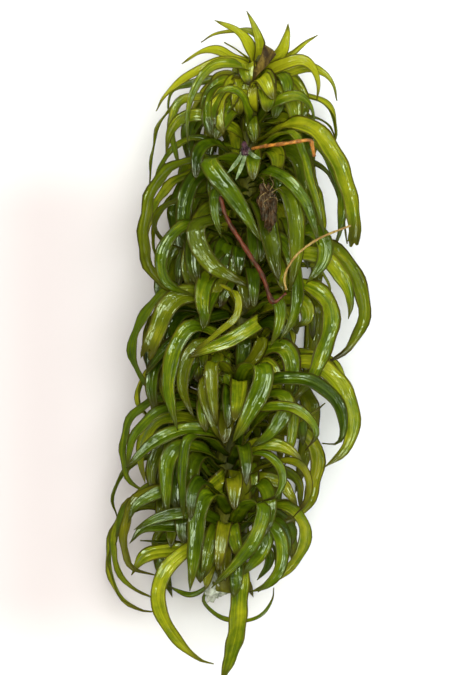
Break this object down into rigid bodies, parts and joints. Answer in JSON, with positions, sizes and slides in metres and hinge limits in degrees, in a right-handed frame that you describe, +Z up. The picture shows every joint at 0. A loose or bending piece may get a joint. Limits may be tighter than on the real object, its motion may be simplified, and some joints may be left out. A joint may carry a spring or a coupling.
{
  "type": "curly waterweed shoot",
  "caption": "Cut shoot of curly waterweed lying on its side: a stem closely set with strap-shaped leaves that curl back, with threads of spent flowers and brown matter caught among them",
  "frame": {"origin": "centre of the bounding box's underside, on the surface that the shoot lies on", "axes": "+Y along the stem to the growing tip, +Z up from the surface, +X to the right as seen from above with the tip away from the viewer"},
  "size_m": [0.0328, 0.0843, 0.0255],
  "materials": {
    "leaf": "wet and glossy",
    "stem": "wet and glossy",
    "pale_leaf": "wet",
    "withered_leaf": "dry and papery",
    "brown_matter": "soft and matt",
    "spent_flower": "withered",
    "orange_stalk": "dull",
    "red_stalk": "dull",
    "straw_stalk": "dull"
  },
  "bodies": {
    "root": {"broken_leaf": "pale_leaf", "brown_matter": "brown_matter", "end_left_leaf_1": "leaf", "end_left_leaf_11": "leaf", "end_left_leaf_2": "leaf", "end_left_leaf_3": "leaf", "end_left_leaf_8": "leaf", "end_left_leaf_9": "leaf", "end_right_leaf_1": "leaf", "end_right_leaf_2": "leaf", "end_right_leaf_4": "leaf", "end_right_leaf_5": "leaf", "end_right_leaf_7": "leaf", "left_leaf_1": "leaf", "left_leaf_2": "leaf", "left_leaf_3": "leaf", "left_leaf_4": "leaf", "left_leaf_5": "leaf", "left_leaf_6": "leaf", "lower_left_leaf_2": "leaf", "lower_left_leaf_3": "leaf", "lower_left_leaf_5": "leaf", "lower_left_leaf_6": "leaf", "lower_left_leaf_7": "leaf", "lower_left_leaf_9": "leaf", "lower_right_leaf_1": "leaf", "lower_right_leaf_3": "leaf", "lower_right_leaf_5": "leaf", "lower_right_leaf_7": "leaf", "lower_right_leaf_8": "leaf", "lower_right_leaf_9": "leaf", "middle_leaf_3": "leaf", "middle_leaf_4": "leaf", "orange_flower_stalk": "orange_stalk", "red_flower_stalk": "red_stalk", "right_leaf_1": "leaf", "right_leaf_2": "leaf", "right_leaf_4": "leaf", "right_leaf_5": "leaf", "right_leaf_6": "leaf", "right_leaf_7": "leaf", "right_leaf_8": "leaf", "spent_flower": "spent_flower", "stem_with_young_leaves": "stem", "straw_flower_stalk": "straw_stalk", "upper_left_leaf_1": "leaf", "upper_left_leaf_10": "leaf", "upper_left_leaf_11": "leaf", "upper_left_leaf_12": "leaf", "upper_left_leaf_2": "leaf", "upper_left_leaf_3": "leaf", "upper_left_leaf_5": "leaf", "upper_left_leaf_8": "leaf", "upper_left_leaf_9": "leaf", "upper_right_leaf_1": "leaf", "upper_right_leaf_3": "leaf", "upper_right_leaf_6": "leaf", "upper_right_leaf_7": "leaf", "upper_right_leaf_8": "leaf", "withered_leaf": "withered_leaf"}
  },
  "joints": []
}
